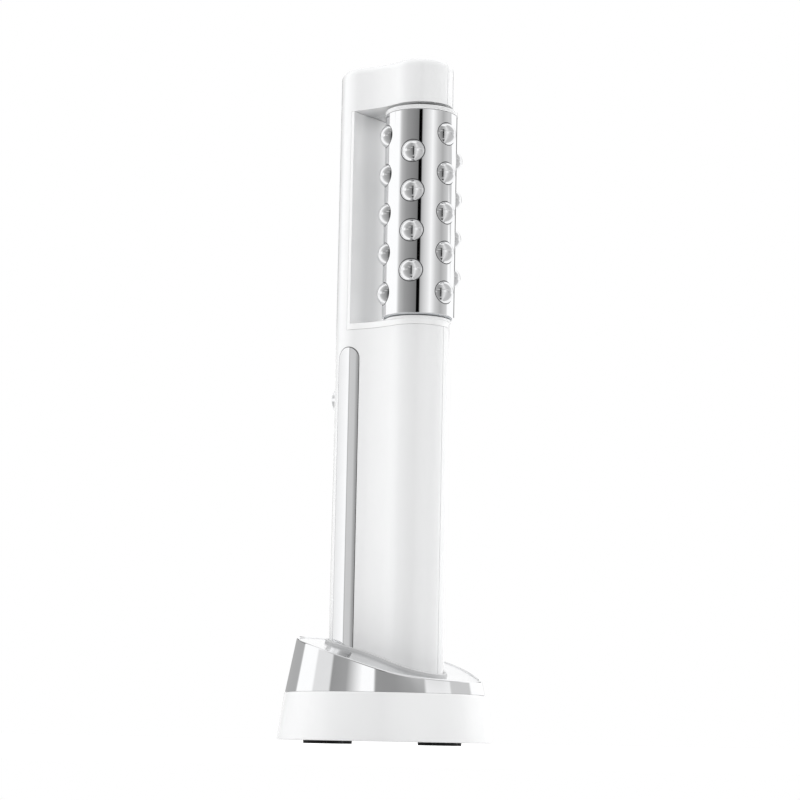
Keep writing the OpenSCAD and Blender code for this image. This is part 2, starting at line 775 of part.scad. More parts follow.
module base_plate() {
    color([0.85, 0.85, 0.85]) difference() {
        union() {
            translate([0, 0, foot_t]) cylinder(h = plate_t, r = plate_r);
            // standoffs of the charger board
            for (x = [-1, 1], y = [-1, 1]) translate([x * standoff[0], y * standoff[1], z_plate - EPS])
                cylinder(h = board_z - z_plate - seat_gap + EPS, r = standoff_r);
        }
        for (a = post_angles) rotate([0, 0, a]) translate([post_ring, 0, 0]) {
            cylinder(h = z_plate + OVER, r = screw_r + lay_gap);
            cylinder(h = foot_t + head_drop + plate_screw_head + seat_gap, r = screw_head_r + lay_gap);
        }
        // shallow seats of the rubber feet
        for (a = foot_angles) rotate([0, 0, a]) translate([foot_ring, 0, 0])
            cylinder(h = foot_t + foot_sink, r = foot_r + seat_gap);
    }
}

module rubber_feet() {
    color(black_rubber) for (a = foot_angles) rotate([0, 0, a]) translate([foot_ring, 0, 0])
        cylinder(h = foot_t + foot_sink - seat_gap, r = foot_r);
}

module plate_screws() {
    color(steel) for (a = post_angles) rotate([0, 0, a]) translate([post_ring, 0, 0]) difference() {
        union() {
            translate([0, 0, foot_t + head_drop]) cylinder(h = plate_screw_head, r = screw_head_r);
            translate([0, 0, foot_t + head_drop]) cylinder(h = plate_screw_l, r = screw_r);
        }
        for (b = [0, 90]) rotate([0, 0, b]) translate([-recess_l / 2, -recess_w / 2, 0])
            cube([recess_l, recess_w, foot_t + recess_t]);
    }
}

module ballast_ring() {
    color(steel) translate([0, 0, z_plate + seat_gap]) difference() {
        cylinder(h = ballast_h, r = ballast_out);
        translate([0, 0, -OVER]) cylinder(h = ballast_h + 2 * OVER, r = ballast_in);
        // gap behind, where the power inlet passes
        translate([-inlet_w - inlet_room, 0, -OVER])
            cube([2 * (inlet_w + inlet_room), 2 * ballast_out, ballast_h + 2 * OVER]);
    }
}

module charger_board() {
    color(board_green) translate([-charger_w / 2, charger_y[0], board_z])
        cube([charger_w, charger_y[1] - charger_y[0], charger_t]);
    color(board_green) translate([-inlet_w - 0.5, charger_y[1] - EPS, board_z])
        cube([2 * inlet_w + 1, tongue_y, charger_t]);
}

module sending_coil() {
    color(copper) translate([0, 0, seat_z - well_t - seat_gap - coil_t]) difference() {
        cylinder(h = coil_t, r = coil_r[1]);
        translate([0, 0, -OVER]) cylinder(h = coil_t + 2 * OVER, r = coil_r[0]);
    }
}

// Bar with round ends along Z, of half width w and half height h
module flat_bar(w, h, z0, z1) {
    translate([0, 0, z0]) {
        for (s = [-1, 1]) translate([s * (w - h), 0, 0]) cylinder(h = z1 - z0, r = h);
        translate([-(w - h), -h, 0]) cube([2 * (w - h), 2 * h, z1 - z0]);
    }
}

module power_inlet() {
    half_h = inlet_h / 2 - seat_gap;
    tongue_w = inlet_w - half_h;
    color(steel) translate([0, inlet_face, inlet_z]) rotate([90, 0, 0]) difference() {
        flat_bar(inlet_w, half_h, 0, inlet_d);
        // mouth with its centre tongue
        difference() {
            flat_bar(inlet_w - inlet_wall, half_h - inlet_wall, -OVER, inlet_d - 2 * inlet_wall);
            translate([-tongue_w, -inlet_wall, OVER]) cube([2 * tongue_w, 2 * inlet_wall, inlet_d]);
        }
    }
}

cradle_skirt();
cradle_band();
cradle_deck();
cradle_well();
base_plate();
rubber_feet();
plate_screws();
ballast_ring();
charger_board();
sending_coil();
power_inlet();
handle_shell_left();
handle_shell_right();
foot_cap();
roller_bay();
inner_frame();
main_board();
battery_cell();
vibration_motor();
eccentric_weight();
receiving_coil();
shell_screws();
contact_strip_left();
contact_strip_right();
power_button();
button_switch();
status_light();
roller_axle();
axle_bushes();
roller_sleeve();
massage_studs();
roller_cap_upper();
roller_cap_lower();
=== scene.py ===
"""Facial toning wand with a studded roller, standing in its round charging cradle.

Metres, +Z up. The roller faces -Y and the power button faces +Y.
"""

import math

import bmesh
import bpy
from mathutils import Matrix, Vector


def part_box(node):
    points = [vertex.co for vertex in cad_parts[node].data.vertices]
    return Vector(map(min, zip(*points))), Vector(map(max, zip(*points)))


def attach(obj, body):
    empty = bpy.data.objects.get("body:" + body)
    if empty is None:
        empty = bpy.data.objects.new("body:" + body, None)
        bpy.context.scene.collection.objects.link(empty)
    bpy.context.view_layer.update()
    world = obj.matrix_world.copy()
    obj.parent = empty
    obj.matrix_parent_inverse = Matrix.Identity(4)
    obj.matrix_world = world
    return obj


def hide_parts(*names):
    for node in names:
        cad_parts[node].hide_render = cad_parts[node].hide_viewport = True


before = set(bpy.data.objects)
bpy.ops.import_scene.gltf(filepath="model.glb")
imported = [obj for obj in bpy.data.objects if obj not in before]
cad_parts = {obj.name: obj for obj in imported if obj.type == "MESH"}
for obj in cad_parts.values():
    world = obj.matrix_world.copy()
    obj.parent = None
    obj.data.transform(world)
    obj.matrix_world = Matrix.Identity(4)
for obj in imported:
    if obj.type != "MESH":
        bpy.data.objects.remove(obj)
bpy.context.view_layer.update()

MM = 0.001
NEAR = 1e-6                               # points closer than this are one point
UP = Vector((0, 0, 1))
SHARP = 32                                # degrees between faces, past which an edge stays sharp
CORNER = 30                               # degrees between faces, past which an edge is rounded
SIDES = {-1: "left", 1: "right"}

# ---- Sizes, read from the frame where a node gives them ----

shell_low, shell_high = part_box("handle_shell_right")
LOBE_R = shell_high.x                     # radius of each lobe of the handle
LOBE_Y = shell_high.y - LOBE_R            # centres of the lobes, on -Y and +Y
Z_SHELL = shell_low.z
Z_CROWN = shell_high.z
WAIST_R = 38 * MM                         # hollow between the lobes
WAIST_X = math.sqrt((LOBE_R + WAIST_R) ** 2 - LOBE_Y ** 2)
SHELL_T = 1.6 * MM
CROWN_R = 3 * MM
SEAM = 0.05 * MM                          # half the gap between the two shells
LINE = 0.09 * MM                          # half the seam that shows

bay_low, bay_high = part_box("roller_bay")
RIM_Y = bay_high.y + SEAM                 # seam of the bay's back panel
PANEL_Y = RIM_Y - 1.2 * MM                # front of the panel behind the roller
Z_HEAD = bay_high.z + SEAM                # underside of the head
Z_SEAM = bay_low.z + 3.4 * MM             # seam under the roller
SILL_T = 2.1 * MM
SHADE_X = (1.5 * MM, 10.5 * MM)           # the painted shade behind the roller fades between these, to either side
LIFT_H = 24 * MM                          # and the painted shade is lifted again over this height below the head
STRIP_T = 0.8 * MM
STRIP_GAP = 0.3 * MM                      # room for the line of sealant round a contact strip
STRIP_PROUD = 0.2 * MM                    # how far a contact strip stands out of the handle
POCKET_D = 0.65 * MM                      # depth of its pocket
KEY_R = 4.5 * MM                          # radius of the power button
KEY_HOLE_R = 4.65 * MM
LIGHT_HOLE_R = 1.35 * MM

sleeve_low, sleeve_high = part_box("roller_sleeve")
ROLLER_R = sleeve_high.x
SLEEVE_T = 0.8 * MM
ROLLER_Y = -LOBE_Y
STUD_R = 4.1 * MM
STUD_H = 2.35 * MM                        # how far a stud stands out of the sleeve
STUD_PITCH = 13.35 * MM                   # between the studs of a column
STUD_ROWS = 5                             # in a long column, one fewer in a short one
STUD_COLUMNS = 6
STUD_PHASE = math.radians(22.5)           # bearing of the first column from +X
STUD_SPAN = math.radians(78)              # from a stud's crown to where its ball is cut off
SEAT_R = (3.5 * MM, 3.92 * MM)            # inner and outer radius of the dark joint round a stud
SEAT_STRETCH = 1.065                      # the joint is longer round the sleeve than along it

skirt_low, skirt_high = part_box("cradle_skirt")
SKIRT_R0 = skirt_high.x
SKIRT_R1 = SKIRT_R0 - 2.2 * MM
band_low, band_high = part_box("cradle_band")
BAND_R = band_high.x
BAND_TAPER = 0.19
BAND_T = 1.1 * MM
BAND_LIP_R = 0.45 * MM
RIM_SLOPE = math.radians(19.3)            # slope where the rim's rear arch turns into its front sweep
RIM_Z = 23.7 * MM                         # height of that place
RIM_TURN = -16.5 * MM                     # and where it is on Y
ARCH_R = 260 * MM
SWEEP_R = 60 * MM
SETTLE = 20                               # rounds in which a point's height on the leaning band settles
DECK_DROP = 0.4 * MM                      # how far the deck lies below the rim
DECK_T = 1.6 * MM
DECK_GAP = 0.15 * MM                      # between the deck and the band
DECK_CUTS = 28                            # the deck is cut at each millimetre this far to either side
WELL_GAP = 0.5 * MM                       # between the wand and the well
LIP_H = 1.0 * MM                          # height of the lip round the wand above the deck
LIP_GAP = 0.2 * MM                        # between the wand and the lip
LIP_T = 1.0 * MM
LIP_ROOT = 0.8 * MM                       # how far the lip reaches below the deck, over the well's edge
FOOT_R = 6.4 * MM
FOOT_RING = 25.8 * MM                     # radius of the ring that the feet stand on
FOOT_TURN = math.radians(-12)


# ---- Node tools ----

def new_material(name):
    """An empty material and the tools to fill it: its nodes and its links."""
    material = bpy.data.materials.new(name)
    material.use_nodes = True
    nodes = material.node_tree.nodes
    return material, nodes, material.node_tree.links, nodes["Principled BSDF"]


def feed(links, socket, value):
    """Links a socket to another one, or sets it to a plain value."""
    if isinstance(value, bpy.types.NodeSocket):
        links.new(value, socket)
    else:
        socket.default_value = value


def maths(nodes, links, operation, *values):
    """One step of arithmetic on sockets and plain numbers."""
    step = nodes.new("ShaderNodeMath")
    step.operation = operation
    for socket, value in zip(step.inputs, values):
        feed(links, socket, value)
    return step.outputs[0]


def spread(nodes, links, source, low, high, start=0.0, end=1.0, kind="LINEAR"):
    """Maps start to end onto low to high."""
    remap = nodes.new("ShaderNodeMapRange")
    remap.interpolation_type = kind
    links.new(source, remap.inputs["Value"])
    for name, value in (("From Min", start), ("From Max", end), ("To Min", low), ("To Max", high)):
        remap.inputs[name].default_value = value
    return remap.outputs["Result"]


def tint(nodes, links, source, low, high):
    """Blends along a source between two colours, given as sockets or as red, green and blue."""
    mix = nodes.new("ShaderNodeMix")
    mix.data_type = "RGBA"
    factor, first, second = mix.inputs[0], mix.inputs[6], mix.inputs[7]     # the sockets for colours
    links.new(source, factor)
    for socket, colour in ((first, low), (second, high)):
        feed(links, socket, (*colour, 1) if isinstance(colour, tuple) else colour)
    return mix.outputs[2]


def either(nodes, links, which, first, second):
    """Shows one shader where which is 0 and another where it is 1."""
    mix = nodes.new("ShaderNodeMixShader")
    for socket, source in zip(mix.inputs, (which, first, second)):
        links.new(source, socket)
    return mix.outputs[0]


def pattern(nodes, links, kind, stretch=(1, 1, 1), **inputs):
    """A texture node of a kind, read on Object coordinates."""
    place = nodes.new("ShaderNodeTexCoord")
    turn = nodes.new("ShaderNodeMapping")
    turn.inputs["Scale"].default_value = stretch
    links.new(place.outputs["Object"], turn.inputs["Vector"])
    texture = nodes.new(kind)
    links.new(turn.outputs["Vector"], texture.inputs["Vector"])
    for socket, value in inputs.items():
        texture.inputs[socket.replace("_", " ")].default_value = value
    return texture


def bump(nodes, links, source, shader, strength, distance):
    """Relief from a texture, with distance as its full depth."""
    node = nodes.new("ShaderNodeBump")
    node.inputs["Strength"].default_value = strength
    node.inputs["Distance"].default_value = distance
    links.new(source, node.inputs["Height"])
    links.new(node.outputs["Normal"], shader.inputs["Normal"])


def coat(shader, weight):
    """A clear gloss over a finish."""
    shader.inputs["Coat Weight"].default_value = weight
    shader.inputs["Coat Roughness"].default_value = 0.06


# ---- Finishes ----

def moulded(name, low, high, rough, grain=600, gloss=0.0, relief=0.0):
    """Moulded plastic or rubber: a faint mottle, uneven gloss and a shallow grain."""
    material, nodes, links, shader = new_material(name)
    mottle = pattern(nodes, links, "ShaderNodeTexNoise", Scale=45.0, Detail=3.0, Roughness=0.55)
    links.new(tint(nodes, links, mottle.outputs["Fac"], low, high), shader.inputs["Base Color"])
    links.new(spread(nodes, links, mottle.outputs["Fac"], *rough), shader.inputs["Roughness"])
    coat(shader, gloss)
    fine = pattern(nodes, links, "ShaderNodeTexNoise", Scale=float(grain), Detail=2.0)
    bump(nodes, links, fine.outputs["Fac"], shader, relief, 0.05 * MM)
    return material


def metal(name, low, high, rough, brush=(1, 1, 1), grain=220, relief=0.0):
    """Plated or brushed metal: brush stretches the fine marks along one way."""
    material, nodes, links, shader = new_material(name)
    shader.inputs["Metallic"].default_value = 1.0
    marks = pattern(nodes, links, "ShaderNodeTexNoise", stretch=brush, Scale=float(grain), Detail=4.0)
    links.new(tint(nodes, links, marks.outputs["Fac"], low, high), shader.inputs["Base Color"])
    links.new(spread(nodes, links, marks.outputs["Fac"], *rough), shader.inputs["Roughness"])
    bump(nodes, links, marks.outputs["Fac"], shader, relief, 0.03 * MM)
    return material


def ringed(name, low, high, turns, metallic, rough):
    """A wound coil or a wrapped cell: fine rings about Z or bands along it."""
    material, nodes, links, shader = new_material(name)
    shader.inputs["Metallic"].default_value = metallic
    rings = pattern(nodes, links, "ShaderNodeTexWave", Scale=float(turns), Distortion=0.4, Detail=1.0)
    rings.wave_type = "RINGS"
    rings.rings_direction = "Z"
    links.new(tint(nodes, links, rings.outputs["Fac"], low, high), shader.inputs["Base Color"])
    links.new(spread(nodes, links, rings.outputs["Fac"], *rough), shader.inputs["Roughness"])
    bump(nodes, links, rings.outputs["Fac"], shader, 0.5, 0.1 * MM)
    return material


def circuit(name):
    """Green circuit board with paler tracks under the lacquer."""
    material, nodes, links, shader = new_material(name)
    tracks = pattern(nodes, links, "ShaderNodeTexBrick", Scale=260.0, Mortar_Size=0.06, Bias=-0.2)
    tracks.inputs["Color1"].default_value = (0.012, 0.11, 0.05, 1)
    tracks.inputs["Color2"].default_value = (0.016, 0.14, 0.065, 1)
    tracks.inputs["Mortar"].default_value = (0.05, 0.27, 0.12, 1)
    links.new(tracks.outputs["Color"], shader.inputs["Base Color"])
    shader.inputs["Roughness"].default_value = 0.35
    bump(nodes, links, tracks.outputs["Fac"], shader, 0.3, 0.05 * MM)
    return material


def white_with_painted_shade(name, low, high, lift):
    """Gloss white with painted shade: darker softly behind the roller, where its shadow falls, lifted again
    towards the head by lift, and fully light at the sill.
    """
    material, nodes, links, shader = new_material(name)
    place = nodes.new("ShaderNodeTexCoord")
    axes = nodes.new("ShaderNodeSeparateXYZ")
    links.new(place.outputs["Object"], axes.inputs[0])
    # painted shade: the colour is darkest in the middle behind the roller and painted lighter to either side
    beside = maths(nodes, links, "ABSOLUTE", axes.outputs["X"])
    light = spread(nodes, links, beside, 0.0, 1.0, *SHADE_X, "SMOOTHSTEP")
    # painted light added towards the head
    upward = spread(nodes, links, axes.outputs["Z"], 0.0, lift, Z_HEAD - LIFT_H, Z_HEAD)
    # the sill is painted fully light
    sill = maths(nodes, links, "LESS_THAN", axes.outputs["Z"], Z_SEAM + SILL_T + 0.1 * MM)
    for more in (upward, sill):
        light = maths(nodes, links, "ADD", light, more)
    links.new(tint(nodes, links, light, low, high), shader.inputs["Base Color"])
    shader.inputs["Roughness"].default_value = 0.2
    coat(shader, 0.35)
    return material


white_gloss = moulded("white_gloss", (0.84, 0.845, 0.85), (0.87, 0.872, 0.875), (0.16, 0.24),
                      gloss=0.35, relief=0.02)
# The bay's panel is white with painted shade behind the roller, painted lighter towards its sides and the
# head.
bay_white_painted_shade = white_with_painted_shade("bay_white_painted_shade", (0.67, 0.675, 0.68), (0.92, 0.922, 0.925), 0.6)
# The head's underside is a darker white with painted shade, darkest in its middle behind the roller.
head_underside_painted_shade = white_with_painted_shade("head_underside_painted_shade", (0.48, 0.485, 0.49), (0.80, 0.802, 0.805), 0.0)
white_satin = moulded("white_satin", (0.80, 0.805, 0.81), (0.84, 0.842, 0.845), (0.34, 0.44), relief=0.05)
soft_grey = moulded("soft_grey", (0.62, 0.625, 0.63), (0.66, 0.663, 0.667), (0.35, 0.45), relief=0.08)
white_liner = moulded("white_liner", (0.92, 0.922, 0.925), (0.94, 0.942, 0.945), (0.34, 0.44), relief=0.05)
inner_nylon = moulded("inner_nylon", (0.66, 0.68, 0.70), (0.72, 0.74, 0.76), (0.45, 0.6), relief=0.1)
dark_nylon = moulded("dark_nylon", (0.03, 0.03, 0.032), (0.045, 0.045, 0.048), (0.4, 0.55), relief=0.1)
black_rubber = moulded("black_rubber", (0.006, 0.006, 0.006), (0.013, 0.013, 0.013), (0.7, 0.85),
                       grain=1500, relief=0.3)
dark_sealant = moulded("dark_sealant", (0.05, 0.05, 0.052), (0.08, 0.08, 0.083), (0.4, 0.5), relief=0.1)
light_pipe = moulded("light_pipe", (0.62, 0.66, 0.70), (0.70, 0.74, 0.77), (0.12, 0.2), gloss=0.4)
cell_wrap = moulded("cell_wrap", (0.03, 0.16, 0.11), (0.04, 0.2, 0.14), (0.25, 0.35), gloss=0.3)
polished_chrome = metal("polished_chrome", (0.86, 0.865, 0.875), (0.9, 0.903, 0.91), (0.02, 0.05))
satin_chrome = metal("satin_chrome", (0.80, 0.805, 0.815), (0.84, 0.843, 0.85), (0.14, 0.20))
stud_chrome = metal("stud_chrome", (0.84, 0.845, 0.855), (0.88, 0.883, 0.89), (0.10, 0.14))
turned_steel = metal("turned_steel", (0.50, 0.505, 0.52), (0.62, 0.625, 0.64), (0.25, 0.4),
                     brush=(1, 1, 14), relief=0.2)
copper_winding = ringed("copper_winding", (0.36, 0.13, 0.05), (0.85, 0.44, 0.24), 900, 1.0, (0.25, 0.4))
brass_weight = metal("brass_weight", (0.62, 0.40, 0.18), (0.72, 0.50, 0.25), (0.2, 0.35), relief=0.1)
green_board = circuit("green_board")


# ---- Making pieces ----

def placed(name, data):
    """An object that holds data, put in the scene."""
    thing = bpy.data.objects.new(name, data)
    bpy.context.scene.collection.objects.link(thing)
    return thing


def finish_piece(name, bm, body, material, replaced=(), edge=0.0, sharp=SHARP):
    """Turns a bmesh into a piece that rides on a body, with soft edges of a width, or even normals."""
    bmesh.ops.recalc_face_normals(bm, faces=bm.faces)
    for face in bm.faces:
        face.smooth = True
    mesh = bpy.data.meshes.new(name)
    bm.to_mesh(mesh)
    bm.free()
    mesh.set_sharp_from_angle(angle=math.radians(sharp))
    mesh.materials.append(material)
    piece = placed(name, mesh)
    if edge:
        soften = piece.modifiers.new("soft_edges", "BEVEL")
        soften.width = edge
        soften.segments = 3
        soften.limit_method = "ANGLE"
        soften.angle_limit = math.radians(sharp)
        soften.harden_normals = True
    elif body:
        even = piece.modifiers.new("even_normals", "WEIGHTED_NORMAL")
        even.keep_sharp = True
        even.weight = 100
    if body:
        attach(piece, body)
        if replaced:
            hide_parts(*replaced)
    return piece


def carve(piece, *cutters):
    """Cuts solids out of a piece and keeps the result as the piece's own mesh."""
    for bm in cutters:
        tool = finish_piece("cutter", bm, None, white_gloss)
        cut = piece.modifiers.new("cut", "BOOLEAN")
        cut.object = tool
        cut.solver = "EXACT"
        others = [m for m in piece.modifiers if m != cut]      # the cut goes before the soft edges
        for m in others:
            m.show_viewport = False
        depsgraph = bpy.context.evaluated_depsgraph_get()
        carved = bpy.data.meshes.new_from_object(piece.evaluated_get(depsgraph))
        carved.name = piece.name
        piece.modifiers.remove(cut)
        piece.data = carved
        for m in others:
            m.show_viewport = True
        bpy.data.objects.remove(tool)
    piece.data.set_sharp_from_angle(angle=math.radians(SHARP))
    return piece


def verts_of(result, key="geom"):
    """The corners in what an operator returns."""
    return [g for g in result[key] if isinstance(g, bmesh.types.BMVert)]


def edges_of(result, key="geom"):
    """The edges in what an operator returns."""
    return [g for g in result[key] if isinstance(g, bmesh.types.BMEdge)]


def with_edges(faces):
    """Faces with their edges and corners, as the bisect operator wants them."""
    edges = {e for f in faces for e in f.edges}
    return list(faces) + list(edges) + list({v for e in edges for v in e.verts})


def level_edges(edges, z):
    """Those edges that lie flat at height z."""
    return [e for e in edges if all(abs(v.co.z - z) < NEAR for v in e.verts)]


def corners_of(bm):
    """Those edges where two faces meet at a clear angle."""
    return [e for e in bm.edges if len(e.link_faces) == 2 and e.calc_face_angle(0) > math.radians(CORNER)]


def faces_at(bm, z):
    """Faces whose middle lies at height z."""
    return [f for f in bm.faces if abs(f.calc_center_median().z - z) < NEAR]


def slice_y(bm, faces, y):
    """Adds edges where faces cross the plane at y."""
    bmesh.ops.bisect_plane(bm, geom=with_edges(faces), dist=NEAR, plane_co=(0, y, 0), plane_no=(0, 1, 0))


def cut_away(bm, point, normal):
    """Removes what lies on the normal's side of a plane and closes the cut."""
    cut = bmesh.ops.bisect_plane(bm, geom=with_edges(bm.faces), dist=NEAR, plane_co=point, plane_no=normal,
                                 clear_outer=True)
    bmesh.ops.triangle_fill(bm, use_beauty=True, use_dissolve=True, edges=edges_of(cut, "geom_cut"))


def round_edges(bm, edges, width, segments, clamp=True):
    """Rounds edges over to a width."""
    bmesh.ops.bevel(bm, geom=edges, offset=width, offset_type="OFFSET", segments=segments, profile=0.5,
                    affect="EDGES", clamp_overlap=clamp, material=-1)


def doubled(bm):
    """Closes a sheet into a slab, and returns the corners of its far face, still to be moved off."""
    return set(verts_of(bmesh.ops.extrude_face_region(bm, geom=bm.faces[:], use_keep_orig=True)))


def stamped(stamp, places):
    """Copies of a shape at each of the places, gathered in one bmesh."""
    held = bpy.data.meshes.new("stamp")
    stamp.to_mesh(held)
    stamp.free()
    bm = bmesh.new()
    for place in places:
        before = len(bm.verts)
        bm.from_mesh(held)
        bm.verts.ensure_lookup_table()
        bmesh.ops.transform(bm, matrix=place, verts=bm.verts[before:])
    bpy.data.meshes.remove(held)
    return bm


def lobed_loop(bm, inset, z, steps=40):
    """Closed outline of the handle, set in by inset, at height z."""
    r = LOBE_R - inset
    half = math.acos(LOBE_Y / (LOBE_R + WAIST_R))      # from the Y axis round to the hollow
    last = bm.verts.new((r * math.sin(half), LOBE_Y - r * math.cos(half), z))
    arcs = [((0, LOBE_Y), 2 * (math.pi - half), steps * 2),
            ((-WAIST_X, 0), -2 * (math.pi / 2 - half), steps // 2),
            ((0, -LOBE_Y), 2 * (math.pi - half), steps * 2),
            ((WAIST_X, 0), -2 * (math.pi / 2 - half), steps // 2)]
    for centre, angle, count in arcs:
        arc = bmesh.ops.spin(bm, geom=[last], cent=(*centre, z), axis=UP, angle=angle, steps=count)
        last = verts_of(arc, "geom_last")[0]
    bmesh.ops.remove_doubles(bm, verts=bm.verts, dist=NEAR)
    return bm.edges[:]


def raise_loop(bm, edges, z0, z1):
    """Extrudes a loop of edges from z0 straight up to z1, and returns the upper loop."""
    raised = bmesh.ops.extrude_edge_only(bm, edges=edges)
    bmesh.ops.translate(bm, verts=verts_of(raised), vec=(0, 0, z1 - z0))
    return level_edges(edges_of(raised), z1)


def lobed_prism(z0, z1):
    """Solid on the handle's outline."""
    bm = bmesh.new()
    loop = lobed_loop(bm, 0, z0)
    top = raise_loop(bm, loop, z0, z1)
    bmesh.ops.contextual_create(bm, geom=loop)
    bmesh.ops.contextual_create(bm, geom=top)
    return bm


def turned(profile, centre=(0, 0), steps=128, edge=0.0, segments=3, closed=True):
    """Spins a profile of (radius, height) points about a vertical axis, with its corners rounded."""
    bm = bmesh.new()
    cx, cy = centre
    points = [bm.verts.new((cx + r, cy, z)) for r, z in profile]
    following = points[1:] + points[:1] if closed else points[1:]
    edges = [bm.edges.new(pair) for pair in zip(points, following)]
    bmesh.ops.spin(bm, geom=points + edges, cent=(cx, cy, 0), axis=UP, angle=2 * math.pi, steps=steps,
                   use_merge=True)
    bmesh.ops.remove_doubles(bm, verts=bm.verts, dist=NEAR)
    bmesh.ops.recalc_face_normals(bm, faces=bm.faces)
    if edge:
        round_edges(bm, corners_of(bm), edge, segments)
    return bm


def curved_slot(side, half_w, z0, z1, r_in, r_out, cuts=24):
    """Plate with round ends that lies on the rear lobe's side, between two radii."""
    bm = bmesh.new()
    ends = bmesh.ops.create_circle(bm, cap_ends=False, segments=64, radius=half_w,
                                   matrix=Matrix.Rotation(math.pi / 2, 4, "Y"))
    bm.verts.ensure_lookup_table()
    low, high = z0 + half_w, z1 - half_w
    for v in ends["verts"]:
        v.co = (0, v.co.y, v.co.z + (high if v.co.z > 0 else low))
    bmesh.ops.contextual_create(bm, geom=bm.edges[:])
    for i in range(1, cuts):
        slice_y(bm, bm.faces[:], half_w * (2 * i / cuts - 1))
    for v in bm.verts:
        v.co.x = side * math.sqrt(r_in ** 2 - v.co.y ** 2)
    for v in doubled(bm):
        v.co.x = side * math.sqrt(r_out ** 2 - v.co.y ** 2)
    bmesh.ops.translate(bm, verts=bm.verts, vec=(0, LOBE_Y, 0))
    bmesh.ops.recalc_face_normals(bm, faces=bm.faces)
    return bm


def strip_slot(side, box, room, r_in, r_out, cuts=24):
    """Plate on a contact strip's outline, grown by room."""
    low, high = box
    return curved_slot(side, (high.y - low.y) / 2 + room, low.z - room, high.z + room, r_in, r_out, cuts)


def rod_y(r, y0, y1, z, steps=64):
    """Solid cylinder along Y."""
    bm = bmesh.new()
    turn = Matrix.Translation((0, (y0 + y1) / 2, z)) @ Matrix.Rotation(math.pi / 2, 4, "X")
    bmesh.ops.create_cone(bm, cap_ends=True, segments=steps, radius1=r, radius2=r, depth=y1 - y0,
                          matrix=turn)
    return bm


# ---- Handle ----

def handle_skin():
    """Outer skin of both shells together: grip, spine behind the roller, and head."""
    bm = bmesh.new()
    loop = lobed_loop(bm, 0, Z_SHELL)
    for z0, z1 in ((Z_SHELL, Z_SEAM), (Z_SEAM, Z_HEAD), (Z_HEAD, Z_CROWN)):
        loop = raise_loop(bm, loop, z0, z1)
    bmesh.ops.contextual_create(bm, geom=loop)
    round_edges(bm, level_edges(bm.edges, Z_CROWN), CROWN_R, 8, clamp=False)
    # window in front of the bay's seam
    middle = (Z_SEAM + Z_HEAD) / 2
    slice_y(bm, faces_at(bm, middle), RIM_Y)
    gone = [f for f in faces_at(bm, middle) if f.calc_center_median().y < RIM_Y]
    bmesh.ops.delete(bm, geom=gone, context="FACES")
    # underside of the head
    ends = [v for v in bm.verts if abs(v.co.z - Z_HEAD) < NEAR and abs(v.co.y - RIM_Y) < NEAR]
    bmesh.ops.contextual_create(bm, geom=ends)
    front = [e for e in level_edges(bm.edges, Z_HEAD) if all(v.co.y < RIM_Y + NEAR for v in e.verts)]
    bmesh.ops.contextual_create(bm, geom=front)
    bmesh.ops.recalc_face_normals(bm, faces=bm.faces)
    return bm


def handle_shell(side):
    """One half of the handle, cut at the seam, with its wall, pockets and holes."""
    bm = handle_skin()
    bmesh.ops.solidify(bm, geom=bm.faces[:], thickness=SHELL_T)
    cut_away(bm, (side * LINE, 0, 0), (-side, 0, 0))
    name = "handle_shell_" + SIDES[side]
    piece = finish_piece(name, bm, "wand", white_gloss, [name], edge=0.16 * MM)
    button_low, button_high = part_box("power_button")
    light_low, light_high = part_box("status_light")
    inside, outside = LOBE_Y + 4 * MM, LOBE_Y + 16 * MM
    carve(
        piece,
        strip_slot(side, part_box("contact_strip_right"), STRIP_GAP, LOBE_R - POCKET_D, LOBE_R + 3 * MM),
        rod_y(KEY_HOLE_R, inside, outside, (button_low.z + button_high.z) / 2),
        rod_y(LIGHT_HOLE_R, inside, outside, (light_low.z + light_high.z) / 2),
    )
    # the head's underside gets the darker white with painted shade
    piece.data.materials.append(head_underside_painted_shade)
    for face in piece.data.polygons:
        if face.normal.z < -0.9 and abs(face.center.z - Z_HEAD) < NEAR:
            face.material_index = 1
    return piece


def contact_strip(side):
    """Long metal strip that lies in the grip's side."""
    name = "contact_strip_" + SIDES[side]
    front = LOBE_R + STRIP_PROUD
    bm = strip_slot(side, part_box(name), 0, front - STRIP_T, front, 40)
    return finish_piece(name, bm, "wand", polished_chrome, [name], edge=0.15 * MM,
                        sharp=45)


def strip_gasket(side):
    """Fine dark line of sealant between a contact strip and its pocket."""
    suffix = SIDES[side]
    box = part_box("contact_strip_" + suffix)
    play, proud = 0.02 * MM, 0.04 * MM
    bm = strip_slot(side, box, STRIP_GAP - play, LOBE_R - POCKET_D + 0.03 * MM, LOBE_R + proud)
    piece = finish_piece("strip_gasket_" + suffix, bm, "wand", dark_sealant)
    return carve(piece, strip_slot(side, box, play, LOBE_R - 2 * MM, LOBE_R + 2 * MM))


def roller_bay():
    """Sill under the roller and the flat panel behind it, in one moulding."""
    z_sill = Z_SEAM + SILL_T
    bm = lobed_prism(Z_SEAM + LINE, z_sill)
    cut_away(bm, (0, RIM_Y - LINE, 0), (0, 1, 0))
    slice_y(bm, faces_at(bm, z_sill), PANEL_Y)
    back = [f for f in faces_at(bm, z_sill) if f.calc_center_median().y > PANEL_Y]
    raised = bmesh.ops.extrude_face_region(bm, geom=back)
    bmesh.ops.translate(bm, verts=verts_of(raised), vec=(0, 0, Z_HEAD - LINE - z_sill))
    bmesh.ops.delete(bm, geom=back, context="FACES_ONLY")
    # the panel's white carries painted shade behind the roller
    return finish_piece("roller_bay", bm, "wand", bay_white_painted_shade, ["roller_bay"], edge=0.16 * MM)


